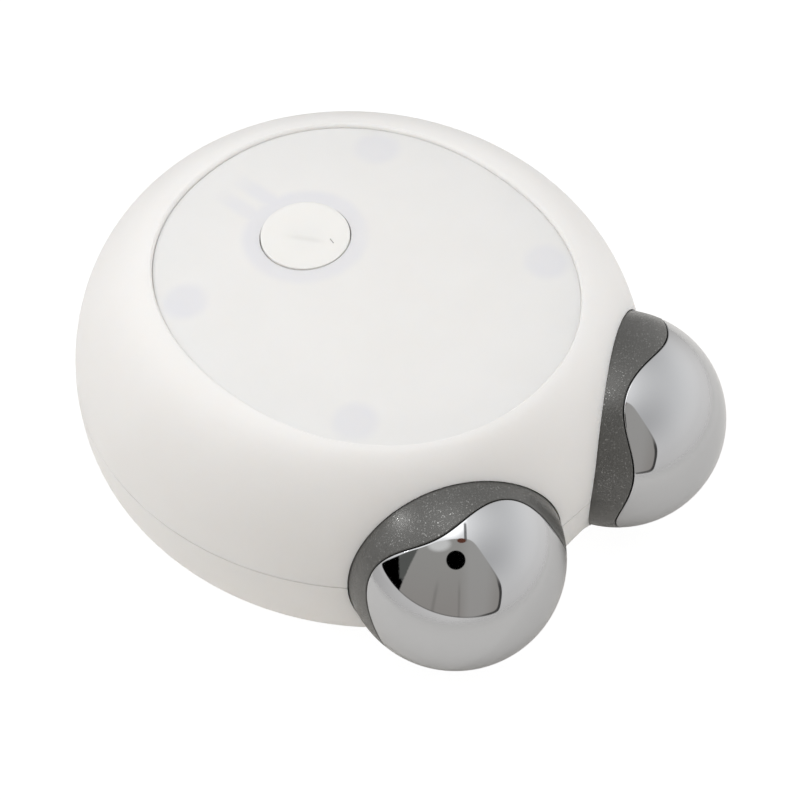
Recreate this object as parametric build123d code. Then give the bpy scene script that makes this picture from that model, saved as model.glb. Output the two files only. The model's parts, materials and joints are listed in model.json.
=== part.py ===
from build123d import *
from math import asin, cos, degrees, pi, radians, sin, sqrt, tan
import os

# A palm-sized facial toning device: a pebble housing with two fixed ball electrodes at its front
# and one push button in the panel on its top. Millimetres, +Z up. The origin is on the resting
# face, under the middle of the parting line's outline, and the balls point towards -Y.

# --- Pebble housing ---
BODY_WIDTH = 76.6          # at the parting line
BODY_LENGTH = 81.8         # at the parting line
PARTING_HEIGHT = 16.6      # parting line above the resting face
CROWN_RISE = 19.4          # rim of the panel recess above the parting line
CROWN_FULLNESS = 1.77      # superellipse exponent of the upper profile
BASE_WIDTH = 53.8
BASE_LENGTH = 64.0
BASE_SHIFT = 0.8           # resting face behind the middle
BASE_FULLNESS = 2.6        # superellipse exponent of the lower profile
BASE_TURN = 80             # degrees of the lower profile's quarter turn kept above the resting face
WALL = 1.8
SEAM_GAP = 0.15            # visible line between the two housings
SEAM_DEPTH = 0.2
LAP_HEIGHT = 1.5           # lip of the lower housing inside the upper one
LAP_SHARE_WALL = 0.9       # thickness of that lip
LAP_CLEARANCE = 0.1

# --- Top panel and the deck under it ---
PANEL_WIDTH = 52.5
PANEL_LENGTH = 60.4
PANEL_SQUARENESS = 2.15    # superellipse exponent of the panel's outline
PANEL_SHIFT = -2.1         # panel's centre in front of the middle
PANEL_POINTS = 20          # points of the outline's curve
PANEL_THICKNESS = 0.6      # at its edge
PANEL_CROWN = 1.2          # rise of its middle above its edge
PANEL_SINK = 0.6           # panel's edge below the rim
PANEL_CLEARANCE = 0.06
PANEL_EDGE_ROUND = 0.1
RIM_LAND_SIDE = 0.75       # level rim beside the recess
RIM_LAND_END = 0.3         # level rim at the recess's front and rear
RIM_ROUND = 0.5
GLUE_THICKNESS = 0.1
GLUE_MARGIN = 0.4
DECK_THICKNESS = 1.8

# --- Power button on its flexing arm ---
BUTTON_DIAMETER = 12.3
BUTTON_OFFSET = 11.3       # button's centre behind the panel's centre
BUTTON_STANDOUT = 0.25     # button's top above the panel beside its centre
BUTTON_GAP = 0.15          # radial gap to the panel's hole
BUTTON_ROUND = 0.15
DISH_DIAMETER = 11.2
DISH_DEPTH = 0.2
PEG_DIAMETER = 5.0         # peg of the arm's pad inside the button
PEG_HEIGHT = 0.9
PEG_CLEARANCE = 0.05
PAD_DIAMETER = 13.8
ARM_WIDTH = 3.6
ARM_REACH = 15.6           # bending line behind the button's centre
ARM_THICKNESS = 1.1
ARM_SLOT = 1.3             # open slot on each side of the arm
PAD_SLOT = 0.85            # open ring round the pad
ARM_ROOT_GAP = 0.05
NUB_DIAMETER = 2.6
NUB_HEIGHT = 0.8
SWITCH_PLAY = 0.05

# --- Screws that join the housings, in wells under the panel ---
WELL_DIAMETER = 6.0
WELL_WALL = 1.3
WELL_SPACING_X = 37.4
WELL_SPACING_Y = 31.9
WELL_SHIFT = 0.95          # middle of the wells behind the panel's centre
WELL_SEAT_RISE = 5.0       # screw seat above the parting line
WELL_FLOOR = 2.0
SCREW_DIAMETER = 2.5
SCREW_HEAD_DIAMETER = 4.6
SCREW_HEAD_HEIGHT = 1.8
SCREW_LENGTH = 10.0
SCREW_FIT = 0.05           # radial clearance of a screw in its bore
SCREW_PASS = 0.2           # radial clearance of a screw in a pass hole
BOSS_DIAMETER = 6.4

# --- Ball electrodes and their collars ---
BALL_DIAMETER = 30.0
BALL_SPACING = 32.8
BALL_SETBACK = 7.7         # ball centre behind the parting line's front
BALL_SPLAY = 29            # degrees outwards
BALL_TILT = 5              # degrees upwards
BALL_CLEARANCE = 0.15
COLLAR_SKIN = 1.5
COLLAR_LIP = 1.2           # lip that backs the joint between collar and electrode
LIP_RISE = 8.6
ELECTRODE_CLEARANCE = 0.1
WAVE_ANGLE = 72            # mean angle of the wavy joint from the ball's axis
WAVE_HEIGHT = 5.5
WAVE_COUNT = 4
WAVE_PHASE = 28
WAVE_LEAN = 4.5
WAVE_LEAN_TOWARDS = 140
WAVE_GAP = 0.25
WAVE_POINTS = 28
HUB_TOP = 1.0              # hub plate behind the ball's centre
HUB_THICKNESS = 1.8
SHOULDER_DEPTH = 4.2       # rear of the ball-shaped part behind the ball's centre
GROOVE_WIDTH = 1.8
NECK_DIAMETER = 23.0
FLANGE_DIAMETER = 26.6
FLANGE_THICKNESS = 1.6
SOCKET_PLAY = 0.1          # play of the housings' rim in the collar's groove
BORE_DIAMETER = 19.8
STEM_DIAMETER = 6.0
STEM_SCREW_DEPTH = 8.0
STEM_SCREW_LENGTH = 9.0
TERMINAL_DIAMETER = 6.0
TERMINAL_THICKNESS = 0.5
TERMINAL_TAB_WIDTH = 2.4
TERMINAL_TAB_REACH = 7.0

# --- Main circuit board ---
BOARD_WIDTH = 27.0
BOARD_LENGTH = 38.0
BOARD_THICKNESS = 1.0
BOARD_SHIFT = 3.0
BOARD_CORNER = 2.0
BOARD_POST_INSET = 3.0
POST_DIAMETER = 4.4
SMALL_SCREW_DIAMETER = 1.8
SMALL_SCREW_HEAD_DIAMETER = 3.4
SMALL_SCREW_HEAD_HEIGHT = 1.2
SMALL_SCREW_LENGTH = 4.0
SWITCH_SIDE = 6.2
SWITCH_HEIGHT = 3.5
PLUNGER_DIAMETER = 3.4
PLUNGER_STANDOUT = 0.8
PLUNGER_DEPTH = 2.0
PLUNGER_FIT = 0.06
BUTTON_TRAVEL = 0.4
CONTROLLER_WIDTH = 6.0
CONTROLLER_LENGTH = 7.0
CONTROLLER_HEIGHT = 1.1
CONTROLLER_INSET = 9.5     # chip's centre behind the board's front edge
DRIVER_WIDTH = 3.9
DRIVER_LENGTH = 4.9
DRIVER_HEIGHT = 1.5
DRIVER_INSET = 13.0
PIN_PITCH = 0.8
PIN_WIDTH = 0.35
PIN_LENGTH = 0.9           # part of a pin outside its chip's body
PIN_THICKNESS = 0.2
TRANSFORMER_WIDTH = 9.4
TRANSFORMER_LENGTH = 8.8
TRANSFORMER_HEIGHT = 5.6
TRANSFORMER_BASE = 1.0     # thickness of its foot plate
TRANSFORMER_CORE = 2.6     # core on each side of the winding, front and rear taken together
WINDING_HEIGHT = 3.0
CAPACITOR_DIAMETER = 5.0
CAPACITOR_HEIGHT = 5.4
CAPACITOR_BASE = 1.0
CAPACITOR_SPACING = 6.5
COMPONENT_SHIFT = 6.7      # transformer and capacitors beside the board's middle line
COMPONENT_INSET = 23.5     # their middle behind the board's front edge
LAMP_WIDTH = 1.6
LAMP_LENGTH = 3.0
LAMP_HEIGHT = 0.9
LAMP_BASE = 0.5

# --- Battery and charging socket ---
BATTERY_WIDTH = 26.0
BATTERY_LENGTH = 34.0
BATTERY_THICKNESS = 7.0
BATTERY_SHIFT = 5.0
BATTERY_EDGE_ROUND = 1.6
BATTERY_PAD_THICKNESS = 0.6
BATTERY_PAD_INSET = 2.0
FENCE_THICKNESS = 1.0
FENCE_HEIGHT = 4.0
FENCE_LENGTH = 20.0
FENCE_CLEARANCE = 0.3
PORT_WIDTH = 8.94
PORT_HEIGHT = 3.26
PORT_DEPTH = 7.3
PORT_WALL = 0.3
PORT_CAVITY = 5.6
PORT_TONGUE_WIDTH = 6.7
PORT_TONGUE_THICKNESS = 0.7
PORT_TONGUE_LENGTH = 4.4
PORT_SINK = 0.6
PORT_CLEARANCE = 0.25
CHARGE_BOARD_WIDTH = 16.0
CHARGE_BOARD_LENGTH = 13.0
CHARGE_BOARD_REAR_GAP = 1.6
CHARGE_POST_SPACING = 10.4
CHARGE_POST_INSET = 2.8
LEAD_DIAMETER = 1.1
LEAD_EXIT = 5.5            # battery cable's first run, out of the cell's front end
LEAD_SWING = 2.0           # and its second run, forwards and up
LEAD_LIFT = 5.6
LEAD_RISE_SHARE = 0.35     # share of the charging cable's height in each of its two upright runs
LEAD_DROP = 9.0            # last run of a lead, straight up to its pad under the board
LEAD_PAD_INSET = 1.5       # battery and charging pads from the board's ends
ELECTRODE_LEAD_EXIT = 9.5
ELECTRODE_PAD_SPACING = 14.0
ELECTRODE_PAD_INSET = 2.5

# --- Heights and places that follow ---
rim_height = PARTING_HEIGHT + CROWN_RISE
crown_width = PANEL_WIDTH + 2 * RIM_LAND_SIDE
crown_length = PANEL_LENGTH + 2 * RIM_LAND_END
panel_edge_top = rim_height - PANEL_SINK
panel_bottom = panel_edge_top - PANEL_THICKNESS
panel_top = panel_edge_top + PANEL_CROWN
panel_radius_across = ((PANEL_WIDTH / 2) ** 2 + PANEL_CROWN**2) / (2 * PANEL_CROWN)
panel_radius_along = ((PANEL_LENGTH / 2) ** 2 + PANEL_CROWN**2) / (2 * PANEL_CROWN)
panel_at_button = panel_top - panel_radius_along + sqrt(panel_radius_along**2 - BUTTON_OFFSET**2)
deck_top = panel_bottom - GLUE_THICKNESS
deck_bottom = deck_top - DECK_THICKNESS
arm_bottom = deck_top - ARM_THICKNESS
button_y = PANEL_SHIFT + BUTTON_OFFSET
arm_root_y = button_y + ARM_REACH
switch_top = arm_bottom - NUB_HEIGHT - SWITCH_PLAY
board_top = switch_top - PLUNGER_STANDOUT - SWITCH_HEIGHT
board_bottom = board_top - BOARD_THICKNESS
board_front_y = BOARD_SHIFT - BOARD_LENGTH / 2
board_rear_y = BOARD_SHIFT + BOARD_LENGTH / 2
well_seat = PARTING_HEIGHT + WELL_SEAT_RISE
boss_top = well_seat - WELL_FLOOR
well_tube_diameter = WELL_DIAMETER + 2 * WELL_WALL
ball_radius = BALL_DIAMETER / 2
socket_radius = ball_radius + BALL_CLEARANCE
ball_y = BALL_SETBACK - BODY_LENGTH / 2
groove_rear = SHOULDER_DEPTH + GROOVE_WIDTH
collar_rear = groove_rear + FLANGE_THICKNESS
battery_bottom = WALL + BATTERY_PAD_THICKNESS
battery_front_y = BATTERY_SHIFT - BATTERY_LENGTH / 2
battery_middle = battery_bottom + BATTERY_THICKNESS / 2
port_rear_y = BODY_LENGTH / 2 - PORT_SINK
charge_board_top = PARTING_HEIGHT - PORT_HEIGHT / 2
charge_board_bottom = charge_board_top - BOARD_THICKNESS
charge_board_rear_y = BODY_LENGTH / 2 - WALL - CHARGE_BOARD_REAR_GAP
charge_board_y = charge_board_rear_y - CHARGE_BOARD_LENGTH / 2
charge_post_y = charge_board_rear_y - CHARGE_BOARD_LENGTH + CHARGE_POST_INSET

# Local frame of the left ball: Z outwards along its axis, X towards the middle of the device,
# Y up. Every right-hand piece is the left one mirrored.
ball_frame = Plane(
    origin=(-BALL_SPACING / 2, ball_y, PARTING_HEIGHT),
    x_dir=(cos(radians(BALL_SPLAY)), -sin(radians(BALL_SPLAY)), 0),
    z_dir=(
        -sin(radians(BALL_SPLAY)) * cos(radians(BALL_TILT)),
        -cos(radians(BALL_SPLAY)) * cos(radians(BALL_TILT)),
        sin(radians(BALL_TILT)),
    ),
)


# --- Small helpers ---
def column(radius, low, high, x=0.0, y=0.0):
    """Upright round bar between two heights."""
    return Pos(x, y, low) * extrude(Circle(radius), high - low)


def block(width, length, low, high, x=0.0, y=0.0, corner=0.0):
    """Upright box between two heights, with round corners if asked."""
    outline = RectangleRounded(width, length, corner) if corner else Rectangle(width, length)
    return Pos(x, y, low) * extrude(outline, high - low)


def right_hand(part):
    """The same piece for the other side of the device."""
    return mirror(part, about=Plane.YZ)


def both_sides(part):
    return part + right_hand(part)


def lead(points):
    """Insulated wire: straight runs joined by the largest arcs that they allow."""
    stops = [Vector(*point) for point in points]
    runs = [after - before for before, after in zip(stops, stops[1:])]
    radii = []
    for first, second in zip(runs, runs[1:]):
        half_turn = radians(first.get_angle(second)) / 2
        radii.append(0.45 * min(first.length, second.length) / tan(half_turn))
    print("lead arc radii", [round(radius, 1) for radius in radii])
    path = FilletPolyline(*stops, radius=radii)
    start = Plane(origin=stops[0], z_dir=runs[0])
    return sweep(start * Circle(LEAD_DIAMETER / 2), path=path)


# --- Pebble form ---
def pebble(inset=0.0):
    """The closed pebble, or the same form moved inwards by a wall."""
    sections = []
    kept = radians(BASE_TURN)
    end_share = cos(kept) ** (2 / BASE_FULLNESS)
    for step in (4, 3, 2, 1):
        turn = kept * step / 4
        drop = (sin(turn) / sin(kept)) ** (2 / BASE_FULLNESS)
        share = (cos(turn) ** (2 / BASE_FULLNESS) - end_share) / (1 - end_share)
        height = PARTING_HEIGHT - (PARTING_HEIGHT - inset) * drop
        sections.append(pebble_section(BASE_WIDTH, BASE_LENGTH, BASE_SHIFT, share, height, inset))
    for turn in (0, 22, 45, 68, 90):
        rise = sin(radians(turn)) ** (2 / CROWN_FULLNESS)
        share = abs(cos(radians(turn))) ** (2 / CROWN_FULLNESS)
        height = PARTING_HEIGHT + (CROWN_RISE - inset) * rise
        sections.append(pebble_section(crown_width, crown_length, PANEL_SHIFT, share, height, inset))
    return loft(sections)


def pebble_section(end_width, end_length, end_shift, share, height, inset):
    """Level ellipse between the parting line's (share 1) and one end's (share 0)."""
    half_width = end_width / 2 + (BODY_WIDTH - end_width) / 2 * share - inset
    half_length = end_length / 2 + (BODY_LENGTH - end_length) / 2 * share - inset
    return Pos(0, end_shift * (1 - share), height) * Ellipse(half_width, half_length)


def parting_outline(inset):
    return Ellipse(BODY_WIDTH / 2 - inset, BODY_LENGTH / 2 - inset)


def panel_outline(grow=0.0):
    """Superellipse of the panel, grown or shrunk all round."""
    points = []
    for step in range(PANEL_POINTS):
        turn = 2 * pi * step / PANEL_POINTS
        x = abs(cos(turn)) ** (2 / PANEL_SQUARENESS) * (PANEL_WIDTH / 2 + grow)
        y = abs(sin(turn)) ** (2 / PANEL_SQUARENESS) * (PANEL_LENGTH / 2 + grow)
        points.append((x if cos(turn) > 0 else -x, y if sin(turn) > 0 else -y))
    return Pos(0, PANEL_SHIFT) * make_face(Spline(*points, periodic=True))


def well_places():
    """Middle of each of the four screw wells."""
    middle_y = PANEL_SHIFT + WELL_SHIFT
    return [
        (x * WELL_SPACING_X / 2, middle_y + y * WELL_SPACING_Y / 2) for x in (-1, 1) for y in (-1, 1)
    ]


def keyhole(grow=0.0):
    """Opening round the button's pad and arm."""
    half_slot = ARM_WIDTH / 2 + ARM_SLOT + grow
    ring = Pos(0, button_y) * Circle(PAD_DIAMETER / 2 + PAD_SLOT + grow)
    slot_length = ARM_REACH + grow
    slot = Pos(0, button_y + slot_length / 2) * Rectangle(2 * half_slot, slot_length)
    return ring + slot


# --- Housings ---
def collar_seats():
    """Rings of wall round both balls, closed behind by the rim that enters the collar's groove."""
    rear = groove_rear - SOCKET_PLAY
    cup = Sphere(socket_radius + WALL) & column(2 * socket_radius, -rear, 2 * socket_radius)
    return both_sides(ball_frame * cup)


def collar_space():
    """Room for both balls, their necks and their flanges."""
    ball = Sphere(socket_radius) & column(
        2 * socket_radius, -SHOULDER_DEPTH - SOCKET_PLAY, 2 * socket_radius
    )
    neck = column(NECK_DIAMETER / 2 + SOCKET_PLAY, -collar_rear, 0)
    flange = column(
        FLANGE_DIAMETER / 2 + BALL_CLEARANCE,
        -collar_rear - BALL_CLEARANCE,
        SOCKET_PLAY - groove_rear,
    )
    return both_sides(ball_frame * (ball + neck + flange))


def port_opening():
    """Opening for the plug in the rear wall, half in each housing."""
    height = PORT_HEIGHT + 2 * PORT_CLEARANCE
    outline = SlotOverall(PORT_WIDTH + 2 * PORT_CLEARANCE, height)
    start = Plane(origin=(0, BODY_LENGTH / 2 - 2 * WALL, PARTING_HEIGHT), x_dir=(1, 0, 0), z_dir=(0, 1, 0))
    return extrude(start * outline, 3 * WALL)


def lap(outer_inset, inner_inset, height):
    """Band that follows the parting line behind the collars."""
    band = parting_outline(outer_inset) - parting_outline(inner_inset)
    behind = Pos(0, BODY_LENGTH / 2) * Rectangle(BODY_WIDTH, BODY_LENGTH + 2 * (ball_y + ball_radius))
    return Pos(0, 0, PARTING_HEIGHT) * extrude(band & behind, height)


def seam_line():
    band = parting_outline(-WALL) - parting_outline(SEAM_DEPTH)
    return Pos(0, 0, PARTING_HEIGHT) * extrude(band, SEAM_GAP)


def panel_recess():
    """Pocket for the panel, with a round edge at its rim."""
    pocket = Pos(0, 0, deck_top) * extrude(panel_outline(PANEL_CLEARANCE), rim_height - deck_top + WALL)
    flare = []
    for turn in (0, 30, 60, 90):
        grow = PANEL_CLEARANCE + RIM_ROUND * (1 - cos(radians(turn)))
        height = rim_height - RIM_ROUND * (1 - sin(radians(turn)))
        flare.append(Pos(0, 0, height) * panel_outline(grow))
    return pocket + loft(flare)


def upper_housing(outer, inner):
    shell = split(outer, Plane.XY.offset(PARTING_HEIGHT), keep=Keep.TOP)
    cavity = split(inner, Plane.XY.offset(deck_bottom), keep=Keep.BOTTOM)
    seats = collar_seats() & shell
    shell = shell - cavity + seats
    for x, y in well_places():
        shell += column(well_tube_diameter / 2, boss_top, deck_top, x, y)
    for x, y in board_post_places():
        shell += column(POST_DIAMETER / 2, board_top, deck_top, x, y)
    shell -= collar_space()
    for x, y in well_places():
        shell -= column(WELL_DIAMETER / 2, well_seat, rim_height, x, y)
        shell -= column(SCREW_DIAMETER / 2 + SCREW_PASS, PARTING_HEIGHT, rim_height, x, y)
    for x, y in board_post_places():
        shell -= column(SMALL_SCREW_DIAMETER / 2 + SCREW_FIT, 0, deck_bottom, x, y)
    shell -= panel_recess()
    shell -= Pos(0, 0, deck_bottom - WALL) * extrude(keyhole(), DECK_THICKNESS + 2 * WALL)
    shell -= lap(LAP_SHARE_WALL - LAP_CLEARANCE, WALL + LAP_HEIGHT, LAP_HEIGHT + LAP_CLEARANCE)
    shell -= seam_line()
    return shell - port_opening()


def lower_housing(outer, inner):
    form = split(outer, Plane.XY.offset(PARTING_HEIGHT), keep=Keep.BOTTOM)
    shell = form - inner + (collar_seats() & form)
    feet = Part()
    for x, y in well_places():
        shell += column(BOSS_DIAMETER / 2, WALL, boss_top, x, y)
    for side in (-1, 1):
        x = side * CHARGE_POST_SPACING / 2
        feet += column(POST_DIAMETER / 2, 0, charge_board_bottom, x, charge_post_y)
        fence_x = side * (BATTERY_WIDTH / 2 + FENCE_CLEARANCE + FENCE_THICKNESS / 2)
        feet += block(FENCE_THICKNESS, FENCE_LENGTH, 0, WALL + FENCE_HEIGHT, fence_x, BATTERY_SHIFT)
    shell += feet & form
    shell += lap(LAP_SHARE_WALL, WALL, LAP_HEIGHT)
    shell -= collar_space()
    for x, y in well_places():
        shell -= column(SCREW_DIAMETER / 2 + SCREW_FIT, boss_top - SCREW_LENGTH, boss_top, x, y)
    for side in (-1, 1):
        x = side * CHARGE_POST_SPACING / 2
        bottom = charge_board_bottom - SMALL_SCREW_LENGTH
        shell -= column(SMALL_SCREW_DIAMETER / 2 + SCREW_FIT, bottom, charge_board_bottom, x, charge_post_y)
    return shell - port_opening()


# --- Panel ---
def panel_crown():
    """Barrel-shaped wedge whose top meets the panel's sides and ends at one height."""
    reach = 0.6 * PANEL_LENGTH
    low = panel_top - panel_radius_along + sqrt(panel_radius_along**2 - reach**2)
    front, rear = (PANEL_SHIFT - reach, low), (PANEL_SHIFT + reach, low)
    arc = ThreePointArc(front, (PANEL_SHIFT, panel_top), rear)
    side = make_face(arc + Polyline(rear, (rear[0], deck_bottom), (front[0], deck_bottom), front))
    axis = Axis((0, 0, panel_top - panel_radius_across), (0, 1, 0))
    half_turn = degrees(0.6 * PANEL_WIDTH / panel_radius_across)
    return revolve((Plane.YZ * side).rotate(axis, -half_turn), axis, 2 * half_turn)


def top_panel():
    blank = Pos(0, 0, panel_bottom) * extrude(panel_outline(), panel_top + PANEL_CROWN - panel_bottom)
    plate = blank & panel_crown()
    plate = fillet(plate.edges().sort_by(Axis.Z)[-1], PANEL_EDGE_ROUND)
    return plate - column(BUTTON_DIAMETER / 2 + BUTTON_GAP, panel_bottom, panel_top, 0, button_y)


def panel_adhesive():
    sheet = panel_outline(-GLUE_MARGIN) - keyhole(GLUE_MARGIN)
    for x, y in well_places():
        sheet -= Pos(x, y) * Circle(WELL_DIAMETER / 2 + GLUE_MARGIN)
    return Pos(0, 0, deck_top) * extrude(sheet, GLUE_THICKNESS)


# --- Button ---
def power_button():
    top = panel_at_button + BUTTON_STANDOUT
    cap = column(BUTTON_DIAMETER / 2, deck_top, top)
    cap = fillet(cap.edges().group_by(Axis.Z)[-1], BUTTON_ROUND)
    half_dish = DISH_DIAMETER / 2
    dish_radius = (half_dish**2 + DISH_DEPTH**2) / (2 * DISH_DEPTH)
    cap -= Pos(0, 0, top - DISH_DEPTH + dish_radius) * Sphere(dish_radius)
    cap -= column(PEG_DIAMETER / 2 + PEG_CLEARANCE, deck_top, deck_top + PEG_HEIGHT + PEG_CLEARANCE)
    return Pos(0, button_y) * cap


def button_arm():
    """Pad and flexing arm. It bends at the line where it meets the deck."""
    length = ARM_REACH - ARM_ROOT_GAP
    outline = Circle(PAD_DIAMETER / 2) + Pos(0, length / 2) * Rectangle(ARM_WIDTH, length)
    arm = Pos(0, 0, arm_bottom) * extrude(outline, ARM_THICKNESS)
    arm += column(PEG_DIAMETER / 2, deck_top, deck_top + PEG_HEIGHT)
    arm += column(NUB_DIAMETER / 2, arm_bottom - NUB_HEIGHT, arm_bottom)
    return Pos(0, button_y) * arm


# --- Screws ---
def screw(diameter, length, head_diameter, head_height):
    """Pan-head screw that points down, with its head's underside at height zero."""
    head = column(head_diameter / 2, 0, head_height)
    head = chamfer(head.edges().group_by(Axis.Z)[-1], head_height / 4)
    return head + column(diameter / 2, -length, 0)


def housing_screws():
    one = screw(SCREW_DIAMETER, SCREW_LENGTH, SCREW_HEAD_DIAMETER, SCREW_HEAD_HEIGHT)
    return Compound([Pos(x, y, well_seat) * one for x, y in well_places()])


def small_screw():
    return screw(
        SMALL_SCREW_DIAMETER, SMALL_SCREW_LENGTH, SMALL_SCREW_HEAD_DIAMETER, SMALL_SCREW_HEAD_HEIGHT
    )


def board_screws():
    upward = Rot(180, 0, 0) * small_screw()
    return Compound([Pos(x, y, board_bottom) * upward for x, y in board_post_places()])


def charge_board_screws():
    places = [(side * CHARGE_POST_SPACING / 2, charge_post_y) for side in (-1, 1)]
    return Compound([Pos(x, y, charge_board_top) * small_screw() for x, y in places])


# --- Balls, built in the left ball's own frame ---
def wave_ring(distance, shift):
    """Closed wavy curve at one distance from the ball's centre."""
    points = []
    for step in range(WAVE_POINTS):
        turn = 360 * step / WAVE_POINTS
        angle = WAVE_ANGLE + WAVE_HEIGHT * cos(radians(WAVE_COUNT * (turn - WAVE_PHASE)))
        angle += WAVE_LEAN * cos(radians(turn - WAVE_LEAN_TOWARDS))
        angle = radians(angle) + shift / ball_radius
        reach = distance * sin(angle)
        points.append((reach * sin(radians(turn)), reach * cos(radians(turn)), distance * cos(angle)))
    return Spline(*points, periodic=True)


def cut_by_wave(form, shift):
    """Front and rear part of a form that the wavy cone from the ball's centre cuts in two."""
    inner = wave_ring(ball_radius / 2, shift)
    outer = wave_ring(ball_radius * 1.2, shift)
    cone = Face.make_surface_from_curves(inner.edge(), outer.edge())
    pieces = split(form, cone, keep=Keep.ALL).solids()
    pieces = sorted(pieces, key=lambda piece: piece.center().Z)
    return pieces[-1], pieces[0]


def ball_electrode():
    """Plated cap of the ball, with the stem that its screw pulls on to the hub."""
    skin = Sphere(ball_radius) - Sphere(ball_radius - COLLAR_SKIN + ELECTRODE_CLEARANCE)
    cap = cut_by_wave(skin, -WAVE_GAP / 2)[0]
    stem = column(STEM_DIAMETER / 2, -HUB_TOP, ball_radius - COLLAR_SKIN / 2)
    hole = column(SCREW_DIAMETER / 2 + SCREW_FIT, -HUB_TOP, STEM_SCREW_DEPTH)
    return cap + stem - hole


def ball_collar():
    """Grey ring of the ball's surface, its hub plate, and the grooved neck behind it."""
    skin = Sphere(ball_radius) - Sphere(ball_radius - COLLAR_SKIN)
    ring = cut_by_wave(skin, WAVE_GAP / 2)[1]
    ring = ring & column(2 * ball_radius, -SHOULDER_DEPTH, ball_radius)
    lip = Sphere(ball_radius - COLLAR_SKIN) & column(ball_radius, -SHOULDER_DEPTH, LIP_RISE)
    lip -= Sphere(ball_radius - COLLAR_SKIN - COLLAR_LIP) & column(ball_radius, -HUB_TOP, ball_radius)
    collar = ring + lip
    collar += column(NECK_DIAMETER / 2, -groove_rear, -SHOULDER_DEPTH)
    collar += column(FLANGE_DIAMETER / 2, -collar_rear, -groove_rear)
    collar -= column(BORE_DIAMETER / 2, -collar_rear, -HUB_TOP - HUB_THICKNESS)
    return collar - column(SCREW_DIAMETER / 2 + SCREW_PASS, -collar_rear, 0)


def terminal_ring():
    """Ring terminal between the screw's head and the hub, with a tab for the lead."""
    low = -HUB_TOP - HUB_THICKNESS - TERMINAL_THICKNESS
    high = low + TERMINAL_THICKNESS
    tab = block(TERMINAL_TAB_REACH, TERMINAL_TAB_WIDTH, low, high, TERMINAL_TAB_REACH / 2)
    ring = column(TERMINAL_DIAMETER / 2, low, high) + tab
    return ring - column(SCREW_DIAMETER / 2 + SCREW_FIT, low, high)


def electrode_screw():
    seat = -HUB_TOP - HUB_THICKNESS - TERMINAL_THICKNESS
    one = screw(SCREW_DIAMETER, STEM_SCREW_LENGTH, SCREW_HEAD_DIAMETER, SCREW_HEAD_HEIGHT)
    return Pos(0, 0, seat) * Rot(180, 0, 0) * one


def electrode_lead():
    """Lead from the terminal's tab, out of the collar's bore, to the front of the board."""
    tab_x = TERMINAL_TAB_REACH - LEAD_DIAMETER
    tab_back = -HUB_TOP - HUB_THICKNESS - TERMINAL_THICKNESS
    start = ball_frame.from_local_coords(Vector(tab_x, 0, tab_back))
    behind = ball_frame.from_local_coords(Vector(tab_x, 0, tab_back - ELECTRODE_LEAD_EXIT))
    pad_x, pad_y = -ELECTRODE_PAD_SPACING / 2, board_front_y + ELECTRODE_PAD_INSET
    return lead([start, behind, (pad_x, pad_y, board_bottom - LEAD_DROP), (pad_x, pad_y, board_bottom)])


# --- Electronics ---
def board_post_places():
    half_x = BOARD_WIDTH / 2 - BOARD_POST_INSET
    half_y = BOARD_LENGTH / 2 - BOARD_POST_INSET
    return [(x * half_x, BOARD_SHIFT + y * half_y) for x in (-1, 1) for y in (-1, 1)]


def circuit_board():
    board = block(BOARD_WIDTH, BOARD_LENGTH, board_bottom, board_top, 0, BOARD_SHIFT, BOARD_CORNER)
    for x, y in board_post_places():
        board -= column(SMALL_SCREW_DIAMETER / 2 + SCREW_PASS, board_bottom, board_top, x, y)
    return board


def tact_switch():
    low = board_top
    case = block(SWITCH_SIDE, SWITCH_SIDE, low, low + SWITCH_HEIGHT, 0, button_y, 0.4)
    bore_low = low + SWITCH_HEIGHT - PLUNGER_DEPTH - BUTTON_TRAVEL - SWITCH_PLAY
    return case - column(PLUNGER_DIAMETER / 2 + PLUNGER_FIT, bore_low, switch_top, 0, button_y)


def switch_plunger():
    low = board_top + SWITCH_HEIGHT - PLUNGER_DEPTH
    return column(PLUNGER_DIAMETER / 2, low, switch_top, 0, button_y)


def chip(width, length, height, pins):
    """Moulded chip standing at height zero, with a row of flat pins along two sides."""
    body = block(width, length, PIN_THICKNESS / 2, height)
    for side in (-1, 1):
        for number in range(pins):
            pin_x = side * (width / 2 + PIN_LENGTH / 2)
            pin_y = (number - (pins - 1) / 2) * PIN_PITCH
            body += block(PIN_LENGTH, PIN_WIDTH, 0, PIN_THICKNESS, pin_x, pin_y)
    return body


def controller_chip():
    one = chip(CONTROLLER_WIDTH, CONTROLLER_LENGTH, CONTROLLER_HEIGHT, 8)
    return Pos(0, board_front_y + CONTROLLER_INSET, board_top) * one


def driver_chip():
    one = chip(DRIVER_WIDTH, DRIVER_LENGTH, DRIVER_HEIGHT, 5)
    return Pos(0, board_front_y + DRIVER_INSET, board_bottom) * Rot(0, 180, 0) * one


def output_transformer():
    """Small transformer under the board: a ferrite core round a winding, on a foot plate."""
    x, y = -COMPONENT_SHIFT, board_front_y + COMPONENT_INSET
    core_top = board_bottom - TRANSFORMER_BASE
    core_bottom = board_bottom - TRANSFORMER_HEIGHT
    middle = (core_top + core_bottom) / 2
    low, high = middle - WINDING_HEIGHT / 2, middle + WINDING_HEIGHT / 2
    window = TRANSFORMER_WIDTH - TRANSFORMER_BASE - TRANSFORMER_CORE
    foot = block(TRANSFORMER_WIDTH, TRANSFORMER_LENGTH, core_top, board_bottom, x, y)
    core = block(TRANSFORMER_WIDTH - TRANSFORMER_BASE, TRANSFORMER_LENGTH - TRANSFORMER_BASE,
                 core_bottom, core_top, x, y)
    winding = block(window, TRANSFORMER_LENGTH, low, high, x, y, WINDING_HEIGHT / 3)
    return foot + (core - block(window, TRANSFORMER_LENGTH, low, high, x, y)) + winding


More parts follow.
